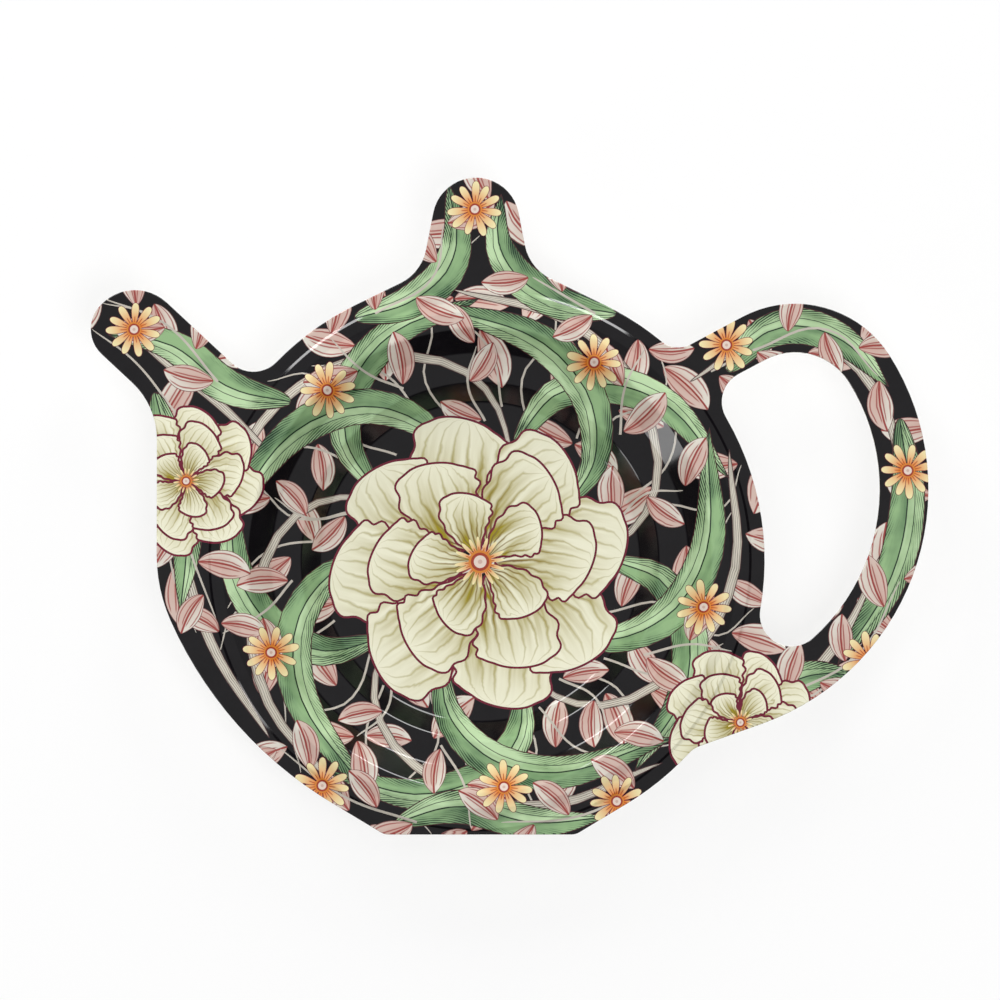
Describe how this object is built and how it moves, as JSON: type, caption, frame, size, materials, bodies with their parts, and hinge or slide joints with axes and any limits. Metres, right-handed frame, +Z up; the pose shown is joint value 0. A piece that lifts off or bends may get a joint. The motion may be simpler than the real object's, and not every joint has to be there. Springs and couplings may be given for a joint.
{
  "type": "tea bag rest",
  "caption": "Flat teapot-shaped tray with a stepped round well that holds a used tea bag, a straight spout, a lid knob and an open handle loop for the fingers.",
  "frame": {"origin": "on the table, under the centre of the round well", "axes": "+X towards the handle loop, +Y towards the lid knob, +Z up out of the well"},
  "size_m": [0.1597, 0.1254, 0.0118],
  "materials": {
    "melamine": "glossy off-white moulded melamine",
    "printed_foil": "floral print on a charcoal ground under a clear glossy glaze"
  },
  "bodies": {
    "root": {"moulded_body": "melamine", "printed_foil": "printed_foil"}
  },
  "joints": []
}
